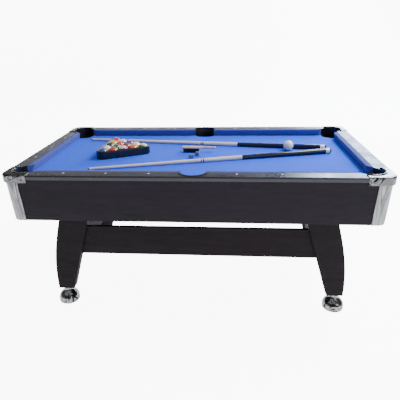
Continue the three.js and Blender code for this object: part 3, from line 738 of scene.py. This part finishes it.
# ---- rack ----
# The rack's wall: millimetres out from its inner face, and up from its foot.
RACK_SECTION = [
    (0.7, 1.2), (0.2, 3.0), (0.0, 7.0), (0.0, 38.0), (0.4, 43.0), (1.6, 45.4), (4.0, 46.0), (6.4, 45.4),
    (7.6, 43.0), (8.0, 38.0), (8.0, 7.0), (7.8, 3.0), (7.3, 1.2), (6.5, 0.2), (1.5, 0.2),
]
RACK_INSIDE = BALL / 2 + 0.6 * MM
RACK_CORNER_STEPS = 25


def flat_direction(degrees):
    return Vector((math.cos(math.radians(degrees)), math.sin(math.radians(degrees)), 0))


def make_rack():
    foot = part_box("ball_rack")[0].z
    spin = Matrix.Rotation(RACK_TURN, 3, "Z")
    rings = []
    for corner_angle in (90, 210, 330):
        hub = POINT_ROWS_OUT * ROW_STEP * flat_direction(corner_angle)
        for degrees in np.linspace(corner_angle - 60, corner_angle + 60, RACK_CORNER_STEPS):
            ring = []
            for d, z in RACK_SECTION:
                point = spin @ (hub + flat_direction(degrees) * (RACK_INSIDE + d * MM)) + rack_middle
                ring.append((point.x, point.y, foot + z * MM))
            rings.append(ring)
    verts, faces = loft(rings, loop=True)
    build("rack_frame", verts, faces, [rack_plastic], "rack", ("ball_rack",), edge=60)


make_rack()

# ---- cues ----
JOINT_AT = 735.0
CUE_SIDES = 40
CUE_FINISHES = [cue_rubber, cue_white, butt_lacquer, shaft_maple, cue_leather]
RUBBER, COLLAR, LACQUER, MAPLE, LEATHER = range(len(CUE_FINISHES))
# The butt: radius mm, distance from the end mm, finish of the stretch that starts here.
CUE_BUTT = [
    (0.1, 0.0, RUBBER), (9.5, 0.0, RUBBER), (12.2, 1.0, RUBBER), (13.4, 3.5, RUBBER), (13.5, 9.0, RUBBER),
    (14.3, 9.4, COLLAR), (14.5, 11.0, COLLAR), (14.4, 30.0, COLLAR),
    (14.38, 33.0, LACQUER), (14.2, 90.0, LACQUER), (13.2, 280.0, LACQUER), (12.0, 500.0, LACQUER),
    (11.9, 512.0, MAPLE), (10.75, 719.0, MAPLE),
    (10.7, 722.0, RUBBER), (10.6, 727.0, COLLAR), (10.55, 734.0, RUBBER),
]
# The shaft's start: radius mm, distance past the joint mm, finish.
CUE_JOINT = [(10.5, 3, COLLAR), (10.4, 16, MAPLE), (10.1, 50, MAPLE)]
# The shaft's end: radius mm, distance back from the tip mm, finish.
CUE_END = [
    (8.6, 330, MAPLE), (6.6, 34.0, MAPLE), (6.5, 33.0, COLLAR), (6.45, 8.0, COLLAR),
    (6.5, 7.4, LEATHER), (6.45, 2.5, LEATHER), (5.4, 0.7, LEATHER), (2.6, 0.02, LEATHER), (0.1, 0.0, LEATHER),
]


# A cue lies along the line through its two ends, with its butt to the right.
def make_cue(where):
    points = []
    for part in ("butt", "shaft"):
        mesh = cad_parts[f"{where}_cue_{part}"].data
        points += [v.co.copy() for v in mesh.vertices]
    cloud = np.array(points)
    direction = np.linalg.svd(cloud - cloud.mean(0), full_matrices=False)[2][0]
    along = cloud @ direction
    at_an_end = (along < along.min() + 0.5 * MM, along > along.max() - 0.5 * MM)
    ends = [Vector(cloud[chosen].mean(0)) for chosen in at_an_end]
    butt, tip = sorted(ends, key=lambda p: -p.x)
    axis = (tip - butt).normalized()
    length = (tip - butt).length / MM
    stretches = CUE_BUTT + [(r, JOINT_AT + past, finish) for r, past, finish in CUE_JOINT]
    stretches += [(r, length - back, finish) for r, back, finish in CUE_END]
    verts, faces = turned([(r * MM, d * MM) for r, d, _ in stretches], butt, axis, CUE_SIDES)
    paint = [finish for _, _, finish in stretches[:-1] for _ in range(CUE_SIDES)] + [RUBBER, LEATHER]
    nodes = (f"{where}_cue_butt", f"{where}_cue_shaft")
    build(f"{where}_cue", verts, faces, CUE_FINISHES, f"{where}_cue", nodes, paint, edge=50)


for where, _ in SIDES:
    make_cue(where)


# ---- geometry node trees ----
def node_tree(name, inputs):
    tree = bpy.data.node_groups.new(name, "GeometryNodeTree")
    tree.interface.new_socket("Geometry", in_out="INPUT", socket_type="NodeSocketGeometry")
    for label, kind, default in inputs:
        socket = tree.interface.new_socket(label, in_out="INPUT", socket_type=f"NodeSocket{kind}")
        if default is not None:
            socket.default_value = default
    tree.interface.new_socket("Geometry", in_out="OUTPUT", socket_type="NodeSocketGeometry")
    return tree, tree.nodes.new("NodeGroupInput"), tree.nodes.new("NodeGroupOutput")


# Sets a turned stud, wide below and narrower above, on each point, with an optional random lean.
def stud_tree():
    sizes = [("Foot radius", "Float", 0.004), ("Head radius", "Float", 0.0035), ("Height", "Float", 0.001)]
    sizes += [("Sides", "Int", 24), ("Lean", "Float", 0.0), ("Seed", "Int", 3), ("Finish", "Material", None)]
    tree, start, end = node_tree("studs on points", sizes)
    link = tree.links.new
    cone = tree.nodes.new("GeometryNodeMeshCone")
    link(start.outputs["Sides"], cone.inputs["Vertices"])
    link(start.outputs["Foot radius"], cone.inputs["Radius Bottom"])
    link(start.outputs["Head radius"], cone.inputs["Radius Top"])
    link(start.outputs["Height"], cone.inputs["Depth"])
    points = tree.nodes.new("GeometryNodeMeshToPoints")
    link(start.outputs["Geometry"], points.inputs["Mesh"])
    lean = tree.nodes.new("FunctionNodeRandomValue")
    lean.data_type = "FLOAT_VECTOR"
    link(start.outputs["Seed"], lean.inputs["Seed"])
    least = math_node(tree, "MULTIPLY", start.outputs["Lean"], -1.0)
    for source, socket in ((least, "Min"), (start.outputs["Lean"], "Max")):
        vector = tree.nodes.new("ShaderNodeCombineXYZ")
        for axis in "XYZ":
            link(source, vector.inputs[axis])
        link(vector.outputs[0], lean.inputs[socket])
    instances = tree.nodes.new("GeometryNodeInstanceOnPoints")
    link(points.outputs[0], instances.inputs["Points"])
    link(cone.outputs["Mesh"], instances.inputs["Instance"])
    link(lean.outputs["Value"], instances.inputs["Rotation"])
    realised = tree.nodes.new("GeometryNodeRealizeInstances")
    link(instances.outputs[0], realised.inputs[0])
    finish = tree.nodes.new("GeometryNodeSetMaterial")
    link(realised.outputs[0], finish.inputs["Geometry"])
    link(start.outputs["Finish"], finish.inputs["Material"])
    link(finish.outputs[0], end.inputs["Geometry"])
    return tree


STUDS = stud_tree()


def studs(name, places, body, slot, nodes=(), **values):
    mesh = bpy.data.meshes.new(name + "_places")
    mesh.from_pydata(places, [], [])
    holder = bpy.data.objects.new(name + "_places", mesh)
    bpy.context.scene.collection.objects.link(holder)
    modifier = holder.modifiers.new("studs", "NODES")
    modifier.node_group = STUDS
    for item in STUDS.interface.items_tree:
        if item.in_out == "INPUT" and item.name in values:
            modifier[item.identifier] = values[item.name]
    bpy.context.view_layer.update()
    evaluated = holder.evaluated_get(bpy.context.evaluated_depsgraph_get())
    made = bpy.data.meshes.new_from_object(evaluated)
    bpy.data.objects.remove(holder)
    return settle(linked(name, made, edge=35), body, nodes)


# ---- sights ----
SIGHT_HEIGHT = 1.2 * MM
SIGHT_PROUD = 0.35 * MM
SIGHT_FROM_NOSE = 50 * MM
sight_z = RAIL_TOP - SIGHT_HEIGHT + SIGHT_PROUD
long_y, short_x = NOSE_Y + SIGHT_FROM_NOSE, NOSE_X + SIGHT_FROM_NOSE
sight_places = [(k * SIGHT_STEP, sy * long_y, sight_z) for k in (-3, -2, -1, 1, 2, 3) for sy in (-1, 1)]
sight_places += [(sx * short_x, k * NOSE_Y / 2, sight_z) for k in (-1, 0, 1) for sx in (-1, 1)]
studs("rail_sights", sight_places, "table", "rail_laminate", **{
    "Foot radius": 5.2 * MM, "Head radius": 4.8 * MM, "Height": SIGHT_HEIGHT, "Sides": 40, "Finish": pearl})


# ---- brush ----
BRUSH_TURN = Matrix.Rotation(math.radians(-3), 3, "Z")
# Distance along the brush from its middle, and half its width, in millimetres.
BRUSH_OUTLINE = [
    (-96, 14.2), (-94, 15), (-50, 15.2), (-8, 15), (4, 13.8), (20, 10.2), (45, 7.9), (70, 7.8), (86, 8.6),
    (92.5, 6.8), (95.4, 3.4), (96, 0.4),
]
BRUSH_SIDES = 20
BRUSH_HALF_THICK = 6.0
TUFT_ROWS, TUFTS_ACROSS = 46, 15
TUFTS_LONG, TUFTS_WIDE = 88, 22
TUFT_STRAY = 0.5


# A sine or cosine drawn out towards a square, the more so the smaller the power.
def squarer(value, power):
    return math.copysign(abs(value) ** power, value)


def make_brush_back():
    low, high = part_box("brush_handle")
    centre = (low + high) / 2
    rings = []
    for x, half in eased(BRUSH_OUTLINE):
        ring = []
        for i in range(BRUSH_SIDES):
            a = 2 * math.pi * i / BRUSH_SIDES
            y = squarer(math.cos(a), 0.45) * half
            z = squarer(math.sin(a), 0.7) * min(BRUSH_HALF_THICK, 2 + half)
            point = BRUSH_TURN @ Vector((x * MM, y * MM, 0))
            ring.append((centre.x + point.x, centre.y + point.y, centre.z + z * MM))
        rings.append(ring)
    verts, faces = loft(rings)
    build("brush_back", verts, faces, [brush_wood], "brush", ("brush_handle",), edge=50)


def make_brush_hair():
    low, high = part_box("brush_bristles")
    middle = (low + high) / 2
    seeded = random.Random(5)
    places = []
    for i in range(TUFT_ROWS):
        for j in range(TUFTS_ACROSS):
            x = TUFTS_LONG * (i / (TUFT_ROWS - 1) - 0.5) + seeded.uniform(-TUFT_STRAY, TUFT_STRAY)
            y = TUFTS_WIDE * (j / (TUFTS_ACROSS - 1) - 0.5) + seeded.uniform(-TUFT_STRAY, TUFT_STRAY)
            point = BRUSH_TURN @ Vector((x * MM, y * MM, 0))
            places.append((middle.x + point.x, middle.y + point.y, low.z + 0.8 * MM))
    studs("brush_hair", places, "brush", "bristles", ("brush_bristles",), **{
        "Foot radius": 0.9 * MM, "Head radius": 0.75 * MM, "Height": high.z - low.z - 0.6 * MM,
        "Sides": 6, "Lean": 0.05, "Seed": 7, "Finish": bristle_hair})


make_brush_back()
make_brush_hair()


# ---- chalk ----
CHALK_HALF = 11 * MM
CHALK_SIDES = 48
# Share of the half width, and millimetres above the chalk's middle: up the sides, then down into the hollow.
CHALK_LEVELS = [
    (0.90, -11.0), (0.985, -10.2), (1.0, -9.2), (1.0, 5.5), (1.0, 6.3), (0.985, 6.4), (0.985, 9.8),
    (0.94, 10.8), (0.88, 11.0), (0.60, 10.2), (0.40, 8.2), (0.20, 7.0), (0.02, 6.6),
]
WRAPPED_LEVELS = 4
HOLLOW_MOUTH, HOLLOW_PIT = 0.88, 0.02
SQUARE_POWER = 0.16


# A chalk is square outside, and its hollow grows round towards the pit.
def make_chalk(node, body, degrees):
    low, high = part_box(node)
    centre = (low + high) / 2
    spin = Matrix.Rotation(math.radians(degrees), 3, "Z")
    rings = []
    for share, z in CHALK_LEVELS:
        rounder = max(0, HOLLOW_MOUTH - share) / (HOLLOW_MOUTH - HOLLOW_PIT)
        power = SQUARE_POWER + (1 - SQUARE_POWER) * rounder
        ring = []
        for i in range(CHALK_SIDES):
            a = 2 * math.pi * i / CHALK_SIDES
            place = Vector((squarer(math.cos(a), power), squarer(math.sin(a), power), 0))
            point = spin @ (place * share * CHALK_HALF)
            ring.append((centre.x + point.x, centre.y + point.y, centre.z + z * MM))
        rings.append(ring)
    verts, faces = loft(rings)
    bands = [int(level >= WRAPPED_LEVELS) for level in range(len(CHALK_LEVELS) - 1)]
    paint = [band for band in bands for _ in range(CHALK_SIDES)] + [0, 1]
    build(node + "_cake", verts, faces, [chalk_paper, chalk_blue], body, (node,), paint)


make_chalk("chalk_1", "chalk_one", 20)
make_chalk("chalk_2", "chalk_two", -15)

# ---- nodes whose shape is kept ----
KEPT = {"play_bed": raw_board, "bottom_panel": cabinet_laminate}
for where in ("left", "middle", "right"):
    KEPT[f"{where}_bed_beam"] = raw_board
for where, _ in SIDES + ENDS:
    KEPT[f"{where}_rail"] = rail_laminate
for where in [corner for corner, _, _ in CORNERS] + ["front_middle", "back_middle"]:
    KEPT[f"{where}_pocket_liner"] = pocket_plastic
for node, material in KEPT.items():
    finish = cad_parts[node].data.materials
    finish.clear()
    finish.append(material)


# ---- room ----
FLOOR_FRONT, FLOOR_BACK, FLOOR_SIDE = -6.0, 4.0, 9.0
SWEEP_RADIUS = 2


# Glows more strongly to the eye than onto the table.
def floor_material():
    material, tree, principled = shader("pale studio floor", 0.75)
    noise = noise_node(tree, object_coords(tree), 1.5)
    tree.links.new(ramp(tree, noise, (0.86, 0.86, 0.86), (0.90, 0.90, 0.90)), principled.inputs["Base Color"])
    direct = tree.nodes.new("ShaderNodeLightPath").outputs["Is Camera Ray"]
    glow = ramp(tree, direct, (0.2, 0.2, 0.205), (1, 1, 1), 0, 1)
    tree.links.new(glow, principled.inputs["Emission Color"])
    principled.inputs["Emission Strength"].default_value = 9.0
    return material


# A flat floor whose back edge curves up into a wall.
def make_floor():
    mesh = bpy.data.meshes.new("pale_floor")
    sweep = [(FLOOR_FRONT, 0.0), (FLOOR_BACK, 0.0)]
    for a in np.linspace(0.1, 1.57, 16):
        sweep.append((FLOOR_BACK + SWEEP_RADIUS * math.sin(a), SWEEP_RADIUS * (1 - math.cos(a))))
    verts = [(x, y, z) for y, z in sweep for x in (-FLOOR_SIDE, FLOOR_SIDE)]
    faces = [(2 * i, 2 * i + 1, 2 * i + 3, 2 * i + 2) for i in range(len(sweep) - 1)]
    mesh.from_pydata(verts, [], faces)
    mesh.shade_smooth()
    mesh.materials.append(floor_material())
    floor = bpy.data.objects.new("pale_floor", mesh)
    bpy.context.scene.collection.objects.link(floor)


make_floor()


def area_light(name, place, target, size, power, colour=(1, 1, 1)):
    lamp = bpy.data.lights.new(name, "AREA")
    lamp.shape = "RECTANGLE"
    lamp.size, lamp.size_y = size
    lamp.energy = power
    lamp.color = colour
    holder = bpy.data.objects.new(name, lamp)
    holder.location = place
    holder.rotation_euler = (Vector(target) - Vector(place)).to_track_quat("-Z", "Y").to_euler()
    bpy.context.scene.collection.objects.link(holder)


area_light("overhead", (1.9, 0.5, 3.2), (0.6, 0, 0.8), (1.8, 1.2), 135)
area_light("right_window", (3.3, 5.4, 2.8), (0.6, -0.1, 0.8), (3.4, 1.5), 380, (0.62, 0.76, 1.0))
area_light("front_fill", (2.6, -3.0, 1.6), (0.5, 0, 0.5), (2.4, 1.2), 20)


# The studio round the table: pale all round, with the soft dark walls that polished metal picks up.
def studio_world():
    world = bpy.data.worlds.new("studio")
    world.use_nodes = True
    tree = world.node_tree
    axes = tree.nodes.new("ShaderNodeSeparateXYZ")
    tree.links.new(tree.nodes.new("ShaderNodeTexCoord").outputs["Generated"], axes.inputs[0])
    height = math_node(tree, "MULTIPLY_ADD", axes.outputs["Z"], 0.5, 0.5)
    bands = [(0.0, 0.9), (0.50, 0.9), (0.58, 0.62), (0.66, 0.26), (0.76, 0.22), (0.86, 0.9), (1.0, 1.1)]
    around = tree.nodes["Background"]
    tree.links.new(grey_bands(tree, height, bands, (1, 1, 1.03)), around.inputs["Color"])
    around.inputs["Strength"].default_value = 0.6
    backdrop = tree.nodes.new("ShaderNodeBackground")
    backdrop.inputs["Color"].default_value = (1, 1, 1, 1)
    backdrop.inputs["Strength"].default_value = 9.6
    direct = tree.nodes.new("ShaderNodeMixShader")
    tree.links.new(tree.nodes.new("ShaderNodeLightPath").outputs["Is Camera Ray"], direct.inputs[0])
    tree.links.new(around.outputs[0], direct.inputs[1])
    tree.links.new(backdrop.outputs[0], direct.inputs[2])
    tree.links.new(direct.outputs[0], tree.nodes["World Output"].inputs["Surface"])
    bpy.context.scene.world = world


studio_world()

# ---- camera ----
CAMERA_PLACE = (0.1784, -2.1755, 1.4106)
YAW, PITCH, ROLL = math.radians(-4.84), math.radians(23.308), math.radians(-1.278)
ahead = Vector((math.sin(YAW) * math.cos(PITCH), math.cos(YAW) * math.cos(PITCH), -math.sin(PITCH)))
level = Vector((math.cos(YAW), -math.sin(YAW), 0))
upright = level.cross(ahead)
right = math.cos(ROLL) * level + math.sin(ROLL) * upright
up = -math.sin(ROLL) * level + math.cos(ROLL) * upright
lens = bpy.data.cameras.new("main_camera")
lens.sensor_width = 36
lens.lens = 35.55
camera = bpy.data.objects.new("main_camera", lens)
facing = Matrix((right, up, -ahead)).transposed()
camera.matrix_world = Matrix.Translation(CAMERA_PLACE) @ facing.to_4x4()
bpy.context.scene.collection.objects.link(camera)
bpy.context.scene.camera = camera
